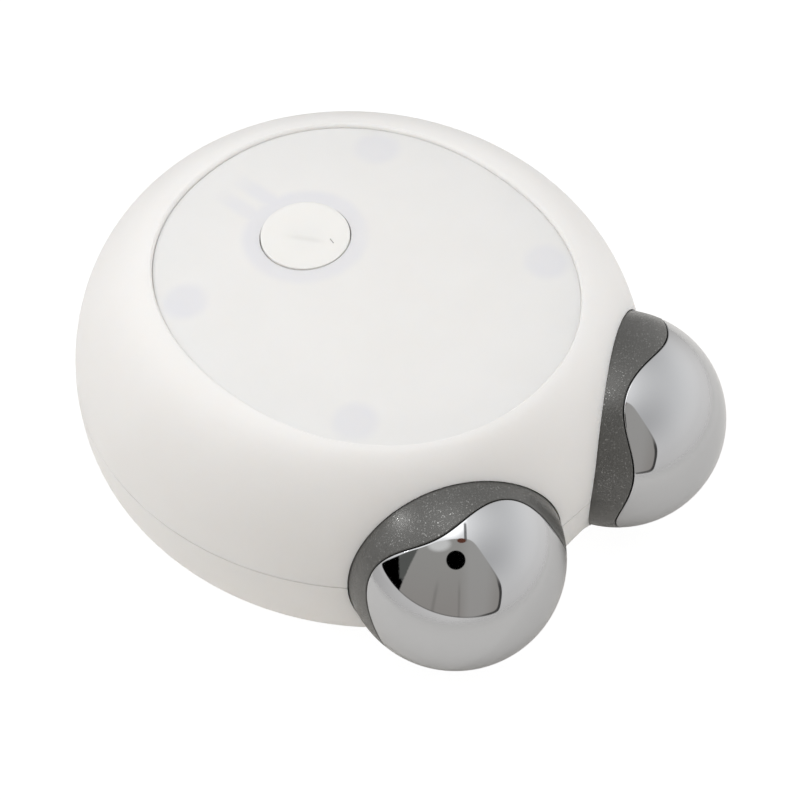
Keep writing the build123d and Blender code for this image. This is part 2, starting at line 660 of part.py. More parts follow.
def filter_capacitors():
    """Two can capacitors with square bases, under the board."""
    cans = []
    side = CAPACITOR_DIAMETER + 0.3
    for step in (-0.5, 0.5):
        x, y = COMPONENT_SHIFT, board_front_y + COMPONENT_INSET + step * CAPACITOR_SPACING
        can = column(CAPACITOR_DIAMETER / 2, board_bottom - CAPACITOR_HEIGHT, board_bottom, x, y)
        cans.append(can + block(side, side, board_bottom - CAPACITOR_BASE, board_bottom, x, y))
    return Compound(cans)


def status_leds():
    """Indicator lamps under the open ring round the button's pad."""
    x = (PAD_DIAMETER + PAD_SLOT) / 2
    base_top = board_top + LAMP_BASE
    lamps = []
    for side in (-1, 1):
        lamp = block(LAMP_WIDTH, LAMP_LENGTH, board_top, base_top, side * x, button_y)
        lens = block(
            0.75 * LAMP_WIDTH, 0.6 * LAMP_LENGTH, base_top, board_top + LAMP_HEIGHT, side * x, button_y
        )
        lamps.append(lamp + lens)
    return Compound(lamps)


# --- Battery and charging ---
def battery_cell():
    top = battery_bottom + BATTERY_THICKNESS
    cell = block(BATTERY_WIDTH, BATTERY_LENGTH, battery_bottom, top, 0, BATTERY_SHIFT)
    return fillet(cell.edges().filter_by(Axis.Y), BATTERY_EDGE_ROUND)


def battery_pad():
    width = BATTERY_WIDTH - 2 * BATTERY_EDGE_ROUND - BATTERY_PAD_INSET
    length = BATTERY_LENGTH - 2 * BATTERY_PAD_INSET
    return block(width, length, WALL, battery_bottom, 0, BATTERY_SHIFT, 1.0)


def battery_cable():
    """Sheathed two-core cable from the cell's front end to the front of the board."""
    pad_y = board_front_y + LEAD_PAD_INSET
    exit_y = battery_front_y - LEAD_EXIT
    return lead([
        (0, battery_front_y, battery_middle),
        (0, exit_y, battery_middle),
        (0, exit_y - LEAD_SWING, battery_middle + LEAD_LIFT),
        (0, pad_y, board_bottom - LEAD_DROP),
        (0, pad_y, board_bottom),
    ])


def charging_socket():
    start = Plane(origin=(0, port_rear_y, PARTING_HEIGHT), x_dir=(1, 0, 0), z_dir=(0, -1, 0))
    shell = extrude(start * SlotOverall(PORT_WIDTH, PORT_HEIGHT), PORT_DEPTH)
    inside = SlotOverall(PORT_WIDTH - 2 * PORT_WALL, PORT_HEIGHT - 2 * PORT_WALL)
    shell -= extrude(start * inside, PORT_CAVITY)
    root = start.offset(PORT_CAVITY - PORT_TONGUE_LENGTH)
    return shell + extrude(root * Rectangle(PORT_TONGUE_WIDTH, PORT_TONGUE_THICKNESS), PORT_TONGUE_LENGTH)


def charge_board():
    board = block(
        CHARGE_BOARD_WIDTH, CHARGE_BOARD_LENGTH, charge_board_bottom, charge_board_top,
        0, charge_board_y, 1.0,
    )
    for side in (-1, 1):
        x = side * CHARGE_POST_SPACING / 2
        board -= column(SMALL_SCREW_DIAMETER / 2 + SCREW_PASS, 0, charge_board_top, x, charge_post_y)
    return board


def charge_cable():
    """Sheathed two-core cable from the charging board to the rear of the main board."""
    pad_y = board_rear_y - LEAD_PAD_INSET
    rise = board_bottom - charge_board_top
    return lead([
        (0, charge_post_y, charge_board_top),
        (0, charge_post_y, charge_board_top + LEAD_RISE_SHARE * rise),
        (0, pad_y, board_bottom - LEAD_RISE_SHARE * rise),
        (0, pad_y, board_bottom),
    ])


# --- All nodes ---
def ball_nodes():
    """Every piece of the left ball, and the same pieces mirrored for the right one."""
    left = {
        "collar": ball_frame * ball_collar(),
        "electrode": ball_frame * ball_electrode(),
        "terminal_ring": ball_frame * terminal_ring(),
        "electrode_screw": ball_frame * electrode_screw(),
        "electrode_lead": electrode_lead(),
    }
    nodes = {}
    for name, part in left.items():
        nodes["left_" + name] = part
        nodes["right_" + name] = right_hand(part)
    return nodes


def all_nodes():
    outer = pebble()
    inner = pebble(WALL)
    nodes = {
        "upper_housing": upper_housing(outer, inner),
        "lower_housing": lower_housing(outer, inner),
        "top_panel": top_panel(),
        "panel_adhesive": panel_adhesive(),
        "power_button": power_button(),
        "button_arm": button_arm(),
        "housing_screws": housing_screws(),
        "circuit_board": circuit_board(),
        "board_screws": board_screws(),
        "tact_switch": tact_switch(),
        "switch_plunger": switch_plunger(),
        "controller_chip": controller_chip(),
        "driver_chip": driver_chip(),
        "output_transformer": output_transformer(),
        "filter_capacitors": filter_capacitors(),
        "status_leds": status_leds(),
        "battery_cell": battery_cell(),
        "battery_pad": battery_pad(),
        "battery_cable": battery_cable(),
        "charging_socket": charging_socket(),
        "charge_board": charge_board(),
        "charge_board_screws": charge_board_screws(),
        "charge_cable": charge_cable(),
    }
    nodes.update(ball_nodes())
    return nodes


os.makedirs("parts", exist_ok=True)
for name, part in all_nodes().items():
    export_step(part, f"parts/{name}.step")
print("full button press, degrees:", round(degrees(asin(BUTTON_TRAVEL / ARM_REACH)), 2))
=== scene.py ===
import json
from math import acos, atan2, cos, degrees, pi, radians, sin

import bmesh
import bpy
from mathutils import Matrix, Vector


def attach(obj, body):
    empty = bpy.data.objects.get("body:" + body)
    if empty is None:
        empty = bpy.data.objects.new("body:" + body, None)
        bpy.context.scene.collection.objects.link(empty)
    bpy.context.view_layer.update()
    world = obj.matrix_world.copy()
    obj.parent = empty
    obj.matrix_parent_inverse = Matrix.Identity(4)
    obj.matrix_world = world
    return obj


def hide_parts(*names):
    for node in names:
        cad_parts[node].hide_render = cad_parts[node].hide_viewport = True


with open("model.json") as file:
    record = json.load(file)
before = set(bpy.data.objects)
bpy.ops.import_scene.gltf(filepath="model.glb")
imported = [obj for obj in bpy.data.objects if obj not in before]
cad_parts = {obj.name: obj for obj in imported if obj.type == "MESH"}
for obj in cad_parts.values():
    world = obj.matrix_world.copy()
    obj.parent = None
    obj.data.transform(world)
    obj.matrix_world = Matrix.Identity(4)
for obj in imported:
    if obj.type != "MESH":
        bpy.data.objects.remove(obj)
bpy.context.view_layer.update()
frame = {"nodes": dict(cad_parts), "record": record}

# Looks of a palm-sized facial toning device: a white pebble housing with a frosted panel, one push
# button, and two chrome ball electrodes in grey collars. Metres, in the part's own frame: +Z up,
# the origin on the resting face and the balls towards -Y.

MM = 0.001
WELD = 1e-7                # points this near, in metres, are one

# --- Sizes shared with the part, in millimetres ---
BALL_RADIUS = 14.99        # a hair under the solid's 15
BALL_X = 16.4              # centre of the right ball, and the left one is its mirror image
BALL_Y = -33.2
BALL_Z = 16.6
BALL_SPLAY = 29            # degrees that a ball's axis turns outwards from -Y
BALL_TILT = 5              # degrees that it turns up
SEAT_GAP = 0.15            # between a ball and its seat in the housings
SEAT_TOLERANCE = 0.05      # a point this far inside a seat's face still counts as on it
# The wavy joint, by its angle off the ball's axis in degrees
WAVE_ANGLE = 72
WAVE_HEIGHT = 5.5
WAVE_COUNT = 4
WAVE_PHASE = 28
WAVE_LEAN = 4.5            # one slow wave more, which sets the joint aslant
WAVE_LEAN_TOWARDS = 140
WAVE_HALF_GAP = 0.08
RIM_ROUNDING = 0.12
SKIN_TOLERANCE = 0.05      # a point this far under the lip's face still bends with the wave
CAP_HOLDS = 16             # the cap is as turned up to this angle, and bends to the wave beyond it
COLLAR_HOLDS = 6           # the collar is as turned this near to its shoulder
BALL_STEPS = 180
# Heights along the ball's axis from its centre, and radii about it
SHOULDER = -4.2
GROOVE_REAR = -6.0
COLLAR_REAR = -7.6
NECK_RADIUS = 11.5
FLANGE_RADIUS = 13.3
BORE_RADIUS = 9.9
HUB_TOP = -1.0
HUB_REAR = -2.8
PASS_RADIUS = 1.45
LIP_OUTER = 13.5
LIP_INNER = 12.3
LIP_TOP = 8.6
SKIN = 1.4                 # thickness of the chrome cap
STEM_RADIUS = 3.0
STEM_BORE = 1.3
STEM_BORE_TOP = 8.0
SKIN_BOTTOM = (LIP_OUTER - SKIN_TOLERANCE) * MM
# Edges with a sharper turn than this stay hard, in degrees
SHELL_SHARP = 28
BALL_SHARP = 40
# What shows through the panel as painted shade, and the button
BUTTON_Y = 9.2
WELL_X = 18.9
WELL_YS = (-18.1, 13.65)
WELL_FADE = (2.0, 4.0)     # a well shows fully to the first radius and not beyond the second
RING_RADIUS = 7.3          # middle of the open ring round the button's pad
RING_FADE = (0.5, 2.1)
SLOT_X = 1.8               # middle of the open slots beside the button's arm
SLOT_FADE = (0.4, 1.8)
SLOT_END_Y = 24.4
PANEL_PUSH = 0.05          # how far the panel's right side is pushed towards its recess
PANEL_PUSH_X = (0, 20)     # not at all up to the first value, fully from the second
# The housing's front, drawn in at its foot between the balls: fully up to the first value of each
# pair and not at all from the second
NOSE_DRAW = 1.9
NOSE_X = (3, 15)
NOSE_Y = (-37, -29)
NOSE_Z = (5, 24)

# --- View and light ---
VIEW_AZIMUTH = -44.659     # degrees from -Y, towards -X
VIEW_ELEVATION = 50.106
VIEW_ROLL = -2.842
VIEW_PLACE = (-282.574, -293.558, 495.761)
VIEW_LENS = 203.468
SENSOR_WIDTH = 36
TENT_RADIUS = 270
TENT_Y = -20               # the tent's middle
TABLE_RADIUS = 153
TABLE_CLEAR_RADIUS = 85    # the table is solid up to here and fades out from here
TABLE_DROP = 0.02          # the table lies this far under the device
TABLE_WHITE = (0.98, 0.967, 0.945, 1)
TABLE_GLOW = 1.12          # seen straight, the table is as bright as the white room behind it
TABLE_GLOW_SHARE = 0.85
LAMP_DIRECTION = (-0.41, 0.67, 0.62)
LAMP_DISTANCE = 250
LAMP_AIM_Z = 20
LAMP_SIZE = 20
LAMP_POWER = 0.055
TENT_LOW = (1.02, 1.0, 0.98, 1)    # the cloth's tint near the table
TENT_HIGH = (1.0, 1.0, 1.0, 1)
# How the tent's cloth glows: azimuth from -Y towards +X and elevation in degrees, and brightness.
TENT_GLOW = [
    (-135, 5, 0.25), (-90, 5, 0.46), (-45, 5, 0.74), (0, 5, 0.64), (45, 5, 0.58), (90, 5, 0.80),
    (180, 5, 0.28), (180, 45, 0.32), (-120, 45, 0.98), (60, 45, 0.26), (0, 85, 1.08),
]
GLOW_FOCUS = 5.0
OVERHEAD_GLOW = 0.9
# The tent's opening, in shares of the view as the ball mirrors it: across and rise from the lens.
# Its straight edges: the way outward in degrees, distance from the lens, rounding at the last edge.
OPENING_EDGES = [(107.64, 0.2157, 0), (90, 0.20, 0.08), (35.60, 0.2290, 0.10), (0, 0.455, 0.12)]
LOW_EDGE_MIDDLE = (0.18, 0.724)    # the lower edge is a wide arc round this middle
LOW_EDGE_RADIUS = 1.291
LOW_EDGE_ROUNDING = 0.10
LOW_EDGE_RIGHT = (0.15, 0.36)      # its hem grows thick and dark between these places across
EDGE_SOFTNESS = 0.005
RAGGED_SOFTNESS = 0.012
SHEET_LOW = (0.445, 0.420, 0.395, 1)
SHEET_HIGH = (0.480, 0.470, 0.445, 1)
SHEET_FOLD = (0.60, 0.59, 0.57, 1)
GLEAM_WHITE = (1.1, 1.1, 1.08, 1)
ROOM_GREY = (0.15, 0.155, 0.145, 1)
HEM_BLACK = (0.04, 0.04, 0.04, 1)
KNOT_BROWN = (0.16, 0.06, 0.04, 1)
LENS_RADIUS = 0.083
LENS_SOFTNESS = 0.003
BLACK = (0, 0, 0, 1)
WHITE = (1, 1, 1, 1)


# --- Shader nodes ---
class Wire:
    """An output of a shader node, which can be used in sums."""

    def __init__(self, shade, socket):
        self.shade = shade
        self.socket = socket

    def math(self, operation, *others):
        return self.shade.math(operation, self, *others)

    def __add__(self, other):
        return self.math("ADD", other)

    def __sub__(self, other):
        return self.math("SUBTRACT", other)

    def __rsub__(self, other):
        return self.shade.math("SUBTRACT", other, self)

    def __mul__(self, other):
        return self.math("MULTIPLY", other)

    def __truediv__(self, other):
        return self.math("DIVIDE", other)

    def __rtruediv__(self, other):
        return self.shade.math("DIVIDE", other, self)

    def __pow__(self, other):
        return self.math("POWER", other)

    def __abs__(self):
        return self.math("ABSOLUTE")

    __radd__ = __add__
    __rmul__ = __mul__

    def least(self, other):
        return self.math("MINIMUM", other)

    def most(self, other):
        return self.math("MAXIMUM", other)

    def meet(self, other, softness):
        """The smaller of two values, rounded where they meet."""
        return self.math("SMOOTH_MIN", other, softness)

    def rise(self, start, end):
        """0 before start, 1 after end, smooth between. Start may be the larger one."""
        return self.shade.node(
            "MapRange",
            {"interpolation_type": "SMOOTHSTEP"},
            {"Value": self, "From Min": start, "From Max": end},
        )


class Shade:
    """The node tree of one material or of the world."""

    def __init__(self, owner):
        owner.use_nodes = True
        self.tree = owner.node_tree
        self.tree.nodes.clear()

    def node(self, kind, settings=None, inputs=None, output=0):
        """Adds a node, with its settings first, and gives one of its outputs."""
        made = self.tree.nodes.new("ShaderNode" + kind)
        for name, value in (settings or {}).items():
            setattr(made, name, value)
        for name, value in (inputs or {}).items():
            if isinstance(value, Wire):
                self.tree.links.new(value.socket, made.inputs[name])
            else:
                made.inputs[name].default_value = value
        return Wire(self, made.outputs[output]) if made.outputs else None

    def math(self, operation, *values):
        return self.node("Math", {"operation": operation}, dict(enumerate(values)))

    def mix(self, factor, first, second):
        """Colour from first, at factor 0, to second, at factor 1."""
        return self.node("Mix", {"data_type": "RGBA"}, {0: factor, 6: first, 7: second}, 2)

    def place(self, centre=(0, 0, 0), size=1.0):
        """Position on the object from a centre in millimetres, in units of a size in millimetres."""
        share = 1 / (size * MM)
        shift = [-value / size for value in centre]
        return self.node(
            "Mapping",
            {"vector_type": "POINT"},
            {"Vector": self.node("TexCoord", output=3), "Location": shift, "Scale": (share,) * 3},
        )

    def noise(self, size, detail=2.0, roughness=0.5):
        """Cloudy noise from 0 to 1, with spots of a size in millimetres."""
        return self.node(
            "TexNoise",
            None,
            {"Vector": self.place(size=size), "Scale": 1.0, "Detail": detail, "Roughness": roughness},
        )

    def parts(self, vector):
        """X, Y and Z of a vector."""
        split = self.node("SeparateXYZ", None, {0: vector}).socket.node
        return [Wire(self, output) for output in split.outputs]

    def dot(self, vector, direction):
        return self.node("VectorMath", {"operation": "DOT_PRODUCT"}, {0: vector, 1: direction}, 1)

    def brighten(self, colour, brightness):
        return self.node("VectorMath", {"operation": "SCALE"}, {0: colour, "Scale": brightness})

    def bump(self, height, depth):
        """Surface relief, with a depth in millimetres."""
        return self.node("Bump", None, {"Distance": depth * MM, "Height": height})

    def finish(self, **inputs):
        """The surface itself. An underscore in a name stands for a space."""
        named = {name.replace("_", " "): value for name, value in inputs.items()}
        surface = self.node("BsdfPrincipled", None, named)
        self.node("OutputMaterial", None, {"Surface": surface})

    def finish_plastic(self, **inputs):
        """Moulded plastic, which lets a little light into its skin."""
        self.finish(
            Subsurface_Weight=0.35,
            Subsurface_Radius=(1.0, 0.9, 0.8),
            Subsurface_Scale=1.5 * MM,
            **inputs,
        )


def new_shade(name):
    material = bpy.data.materials.new(name)
    return material, Shade(material)


# --- Finishes of the outside ---
# A pair is the darker and the lighter cloud of one colour
HOUSING_WARM = (0.890, 0.872, 0.852, 1), (0.905, 0.889, 0.871, 1)
PANEL_COOL = (0.850, 0.838, 0.820, 1), (0.862, 0.850, 0.834, 1)
# Painted shade of the hollows that lie behind the panel
PANEL_HOLLOW_SHADE = (0.790, 0.786, 0.812, 1)
BUTTON_WARM = (0.895, 0.880, 0.850, 1), (0.915, 0.900, 0.872, 1)
# Painted shade along the button's crease
CREASE_SHADE_GREY = (0.45, 0.43, 0.40, 1)
TICK_DARK = (0.12, 0.11, 0.10, 1)
COLLAR_LACQUER = (0.094, 0.093, 0.088, 1), (0.108, 0.107, 0.102, 1)
COLLAR_FLAKE = (0.42, 0.42, 0.41, 1)
CHROME = (0.516, 0.521, 0.532, 1), (0.532, 0.537, 0.548, 1)
# The crease, a relief with painted shade along it, and the tick in the button's top, in millimetres from
# its middle and degrees from +X
CREASE_ANGLE = -59.33
CREASE_OFF_MIDDLE = 0.42
CREASE_WIDTH = 0.75
TICK_ANGLE = 73.38
TICK_X = 1.675
TICK_Y = -3.425


def housing_white():
    """Matt moulded white, warm, with the fine spark texture of its mould."""
    material, shade = new_shade("housing_white")
    cloud = shade.noise(14, 3)
    spark = shade.noise(0.22, 4, 0.6)
    shade.finish_plastic(
        Base_Color=shade.mix(cloud.rise(0.3, 0.7), *HOUSING_WARM),
        Roughness=0.46 + 0.10 * spark,
        Specular_IOR_Level=0.35,
        Normal=shade.bump(spark, 0.012),
    )
    return material


def near_ring(shade, centre, radius, fade):
    """1 near the line of an upright ring about a centre, 0 where the fade ends."""
    x, y, z = shade.parts(shade.place((*centre, 0)))
    distance = (x * x + y * y) ** 0.5
    near, far = fade
    return abs(distance - radius).rise(far, near)


def hollows_under_panel(shade):
    """Where the panel has nothing behind it, as a mask for its painted shade: four wells, and the gap
    round the button's arm.
    """
    shown = near_ring(shade, (0, BUTTON_Y), RING_RADIUS, RING_FADE)
    for x in (-WELL_X, WELL_X):
        for y in WELL_YS:
            shown = shown.most(near_ring(shade, (x, y), 0, WELL_FADE))
    x, y, z = shade.parts(shade.place((0, BUTTON_Y, 0)))
    slot_length = SLOT_END_Y - BUTTON_Y
    near, far = SLOT_FADE
    beside = abs(abs(x) - SLOT_X).rise(far, near)
    along = y.rise(RING_RADIUS - 2, RING_RADIUS) * y.rise(slot_length + 1, slot_length - 4)
    return shown.most(beside * along)


def panel_white():
    """Frosted cool white sheet, with painted shade, darker and faintly blue, where a hollow lies behind
    it.
    """
    material, shade = new_shade("panel_white")
    cloud = shade.noise(9, 3)
    # haze is painted shade: the panel is darker and faintly blue over the hollows, more so where the
    # cloud is
    haze = hollows_under_panel(shade) * (0.35 + 0.8 * cloud)
    sheet = shade.mix(cloud.rise(0.3, 0.7), *PANEL_COOL)
    shade.finish_plastic(
        Base_Color=shade.mix(haze, sheet, PANEL_HOLLOW_SHADE),
        Roughness=0.38 + 0.06 * shade.noise(0.5, 3),
        Specular_IOR_Level=0.35,
        Normal=shade.bump(shade.noise(0.3, 3), 0.003),
    )
    return material


def line_axes(x, y, angle):
    """Ways along and across a line through the middle, at an angle in degrees from +X."""
    turn = radians(angle)
    return cos(turn) * x + sin(turn) * y, cos(turn) * y - sin(turn) * x


def button_white():
    """Warm white satin, a shade lighter than the panel, with a soft crease in relief and painted shade
    along it, and a short dark tick.
    """
    material, shade = new_shade("button_white")
    spark = shade.noise(0.25, 3)
    cloud = shade.noise(5, 2)
    x, y, z = shade.parts(shade.place((0, BUTTON_Y, 0)))
    along, across = line_axes(x, y, CREASE_ANGLE)
    crease_with_painted_shade = abs(across + CREASE_OFF_MIDDLE).rise(CREASE_WIDTH, 0.0)
    crease_with_painted_shade = crease_with_painted_shade * along.rise(-3.8, -0.5) * along.rise(3.4, 1.2)
    along, across = line_axes(x - TICK_X, y - TICK_Y, TICK_ANGLE)
    tick = abs(across).rise(0.09, 0.04) * abs(along).rise(0.543, 0.438)
    # The crease is a shallow relief, and its grey is painted shade along it
    colour = shade.mix(0.13 * crease_with_painted_shade, shade.mix(cloud, *BUTTON_WARM), CREASE_SHADE_GREY)
    shade.finish_plastic(
        Base_Color=shade.mix(0.8 * tick, colour, TICK_DARK),
        Roughness=0.34 + 0.08 * spark,
        Specular_IOR_Level=0.45,
        Normal=shade.bump(0.05 * spark - crease_with_painted_shade, 0.08),
    )
    return material


def collar_grey():
    """Grey satin lacquer with a fine metallic grain."""
    material, shade = new_shade("collar_grey")
    grain = shade.noise(0.23, 2, 0.7)
    flake = grain.rise(0.58, 0.74)
    cloud = shade.noise(6, 2)
    shade.finish(
        Base_Color=shade.mix(flake, shade.mix(cloud, *COLLAR_LACQUER), COLLAR_FLAKE),
        Metallic=0.15 + 0.55 * flake,
        Roughness=0.28 - 0.11 * flake,
        Specular_IOR_Level=0.5,
        Normal=shade.bump(grain, 0.024),
    )
    return material


def electrode_chrome():
    """Polished chromium plating with the faintest haze of wiping."""
    material, shade = new_shade("electrode_chrome")
    haze = shade.noise(4, 4, 0.6)
    shade.finish(
        Base_Color=shade.mix(haze, *CHROME),
        Metallic=1.0,
        Roughness=0.035 + 0.03 * haze.rise(0.5, 0.8),
    )
    return material


# --- Finishes of the inside ---
def inner_finish(name, colour, roughness, metallic, cloud_size, grain_size, depth):
    """A plain technical finish: a slightly uneven colour and a fine grain."""
    material, shade = new_shade(name)
    cloud = shade.noise(cloud_size, 3)
    grain = shade.noise(grain_size, 3, 0.6)
    dark = tuple(0.82 * value for value in colour) + (1,)
    light = tuple(min(1.0, 1.12 * value) for value in colour) + (1,)
    shade.finish(
        Base_Color=shade.mix(cloud.rise(0.25, 0.75), dark, light),
        Metallic=metallic,
        Roughness=roughness + 0.12 * grain,
        Normal=shade.bump(grain, depth),
    )
    return material


# Colour, roughness, metallic, size of clouds, size and depth of grain
INNER = {
    "adhesive": ((0.72, 0.72, 0.69), 0.50, 0.0, 5, 0.4, 0.004),
    "board_green": ((0.030, 0.130, 0.062), 0.25, 0.0, 8, 0.5, 0.006),
    "chip_black": ((0.016, 0.016, 0.018), 0.50, 0.0, 3, 0.15, 0.006),
    "switch_metal": ((0.55, 0.55, 0.56), 0.28, 1.0, 4, 0.3, 0.003),
    "plunger_black": ((0.020, 0.020, 0.020), 0.42, 0.0, 2, 0.2, 0.004),
    "transformer_core": ((0.050, 0.047, 0.046), 0.62, 0.2, 3, 0.2, 0.012),
    "capacitor_can": ((0.70, 0.70, 0.72), 0.25, 1.0, 3, 0.3, 0.002),
    "lamp_lens": ((0.85, 0.85, 0.70), 0.18, 0.0, 1, 0.3, 0.002),
    "cell_foil": ((0.56, 0.57, 0.60), 0.34, 1.0, 6, 0.8, 0.010),
    "foam_grey": ((0.10, 0.10, 0.105), 0.85, 0.0, 2, 0.35, 0.040),
    "socket_steel": ((0.58, 0.58, 0.59), 0.24, 1.0, 3, 0.25, 0.002),
    "screw_steel": ((0.48, 0.48, 0.49), 0.30, 1.0, 2, 0.25, 0.003),
    "terminal_brass": ((0.62, 0.46, 0.20), 0.28, 1.0, 2, 0.25, 0.002),
    "lead_red": ((0.42, 0.020, 0.015), 0.42, 0.0, 3, 0.3, 0.004),
    "lead_black": ((0.018, 0.018, 0.018), 0.42, 0.0, 3, 0.3, 0.004),
}

finishes = {
    "housing_white": housing_white(),
    "panel_white": panel_white(),
    "button_white": button_white(),
    "collar_grey": collar_grey(),
    "electrode_chrome": electrode_chrome(),
}
for slot_name, values in INNER.items():
    finishes[slot_name] = inner_finish(slot_name, *values)

node_slots = {row["node"]: row["material_slot"] for row in frame["record"]["subparts"]}


def dress_node(name):
    """Gives a CAD node the finish of its slot."""
    data = frame["nodes"][name].data
    if not data.materials:
        data.materials.append(None)
    for place in range(len(data.materials)):
        data.materials[place] = finishes[node_slots[name]]


# --- Pieces ---
def add_piece(form, name, node, body):
    """Makes an object of a bmesh, which stands for a CAD node and rides on its body."""
    mesh = bpy.data.meshes.new(name)
    form.to_mesh(mesh)
    form.free()
    mesh.materials.append(finishes[node_slots[node]])
    piece = bpy.data.objects.new(name, mesh)
    bpy.context.scene.collection.objects.link(piece)
    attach(piece, body)
    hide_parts(node)
    return piece


def mark_edges(form, sharp_angle):
    """Smooth faces, with hard edges where two faces meet at more than an angle."""
    for face in form.faces:
        face.smooth = True
    for edge in form.edges:
        edge.smooth = edge.is_manifold and edge.calc_face_angle(pi) < radians(sharp_angle)


def ease(value, start, end):
    """0 up to start, 1 from end, smooth between."""
    share = min(1.0, max(0.0, (value - start) / (end - start)))
    return share * share * (3 - 2 * share)


def draw_in_nose(form):
    """Draws the housing's front in at its foot, between the balls. A point that would enter a
    ball's seat slides along it."""
    seat = BALL_RADIUS + SEAT_GAP
    for vertex in form.verts:
        start = vertex.co / MM
        share = 1 - ease(abs(start.x), *NOSE_X)
        share *= (1 - ease(start.y, *NOSE_Y)) * (1 - ease(start.z, *NOSE_Z))
        if share == 0:
            continue
        drawn = start + Vector((0, NOSE_DRAW * share, 0))
        for side in (-1, 1):
            ball = Vector((side * BALL_X, BALL_Y, BALL_Z))
            if (start - ball).length > seat - SEAT_TOLERANCE and (drawn - ball).length < seat:
                drawn = ball + (drawn - ball).normalized() * seat
        vertex.co = drawn * MM


def seat_panel(form):
    """Seats the panel's right side against its recess, which all but closes the gap there."""
    for vertex in form.verts:
        share = ease(vertex.co.x / MM, *PANEL_PUSH_X)
        outward = Vector((vertex.co.x, vertex.co.y, 0)).normalized()
        vertex.co += PANEL_PUSH * MM * share * outward


def welded_shell(node, name, body):
    """The node's own shape, welded so that its curves shade smoothly."""
    form = bmesh.new()
    form.from_mesh(frame["nodes"][node].data)
    bmesh.ops.remove_doubles(form, verts=form.verts, dist=10 * WELD)
    if name.endswith("shell"):
        draw_in_nose(form)
    elif name == "frosted_panel":
        seat_panel(form)
    mark_edges(form, SHELL_SHARP)
    piece = add_piece(form, name, node, body)
    evened = piece.modifiers.new("even_shading", "WEIGHTED_NORMAL")
    evened.mode = "FACE_AREA"
    evened.keep_sharp = True
    return piece


def spun(profile, steps):
    """Closed turned form from a profile of (radius, height) in millimetres, round the Z axis."""
    form = bmesh.new()
    points = [form.verts.new((radius * MM, 0, height * MM)) for radius, height in profile]
    edges = [form.edges.new(pair) for pair in zip(points, points[1:])]
    bmesh.ops.spin(
        form, geom=points + edges, cent=(0, 0, 0), axis=(0, 0, 1), dvec=(0, 0, 0),
        angle=2 * pi, steps=steps, use_merge=True, use_normal_flip=False, use_duplicate=False,
    )
    bmesh.ops.remove_doubles(form, verts=form.verts, dist=WELD)
    bmesh.ops.recalc_face_normals(form, faces=form.faces)
    return form


def arc(radius, start, end, rows):
    """Profile points on a circle about the ball's centre, from one angle off the axis to another."""
    points = []
    for row in range(rows + 1):
        angle = radians(start + (end - start) * row / rows)
        points.append((radius * sin(angle), radius * cos(angle)))
    return points


def round_edge(towards, rows=4):
    """Rounding between the ball's surface and the joint's wall. Towards is 1 for the cap's rim and
    -1 for the collar's."""
    points = []
    for row in range(rows + 1):
        turn = radians(90 * row / rows)
        along = RIM_ROUNDING * (1 - sin(turn))
        distance = BALL_RADIUS - RIM_ROUNDING * (1 - cos(turn))
        reach = radians(WAVE_ANGLE) - towards * along / BALL_RADIUS
        points.append((distance * sin(reach), distance * cos(reach)))
    return points


def wave(turn, shift):
    """How far the wavy joint lies from its mean angle, in radians, at a turn round the axis."""
    degrees_off = WAVE_HEIGHT * cos(WAVE_COUNT * (turn - radians(WAVE_PHASE)))
    degrees_off += WAVE_LEAN * cos(turn - radians(WAVE_LEAN_TOWARDS))
    return radians(degrees_off) + shift / BALL_RADIUS


def bend_to_wave(vertices, shift, share_at):
    """Moves points along the ball's surface until its edge follows the wave. share_at gives how
    much of the way a point goes, from its angle off the axis in degrees."""
    for vertex in vertices:
        distance = vertex.co.length
        angle = acos(max(-1.0, min(1.0, vertex.co.z / distance)))
        turn = atan2(vertex.co.x, vertex.co.y)
        bent = angle + share_at(degrees(angle)) * wave(turn, shift)
        reach = distance * sin(bent)
        vertex.co = Vector((reach * sin(turn), reach * cos(turn), distance * cos(bent)))


def ball_place(side):
    """From a ball's own frame to the part's: side -1 is the left one, 1 its mirror image."""
    splay, tilt = radians(BALL_SPLAY), radians(BALL_TILT)
    inward = Vector((cos(splay), -sin(splay), 0))
    outward = Vector((-sin(splay) * cos(tilt), -cos(splay) * cos(tilt), sin(tilt)))
    across = outward.cross(inward)
    left = Matrix((inward, across, outward)).transposed().to_4x4()
    left.translation = Vector((-BALL_X, BALL_Y, BALL_Z)) * MM
    return left if side < 0 else Matrix.Scale(-1, 4, (1, 0, 0)) @ left


def put_ball_part(form, side):
    bmesh.ops.transform(form, matrix=ball_place(side), verts=form.verts)
    bmesh.ops.recalc_face_normals(form, faces=form.faces)
    mark_edges(form, BALL_SHARP)


def ball_cap(side, name, node):
    """Chrome cap: its plated skin with a rounded wavy rim, and the stem for its screw."""
    rim = WAVE_ANGLE - degrees(RIM_ROUNDING / BALL_RADIUS)
    inner = BALL_RADIUS - SKIN
    stem_angle = degrees(atan2(STEM_RADIUS, (inner**2 - STEM_RADIUS**2) ** 0.5))
    profile = arc(BALL_RADIUS, 0, rim - 0.4, 56)
    profile += round_edge(1)
    profile += arc(inner, WAVE_ANGLE, stem_angle, 18)
    profile += [
        (STEM_RADIUS, HUB_TOP), (STEM_BORE, HUB_TOP), (STEM_BORE, STEM_BORE_TOP), (0, STEM_BORE_TOP),
    ]
    form = spun(profile, BALL_STEPS)
    skin = [vertex for vertex in form.verts if vertex.co.length > SKIN_BOTTOM]
    bend_to_wave(skin, -WAVE_HALF_GAP, lambda angle: ease(angle, CAP_HOLDS, rim - 1))
    put_ball_part(form, side)
    return add_piece(form, name, node, "housing")


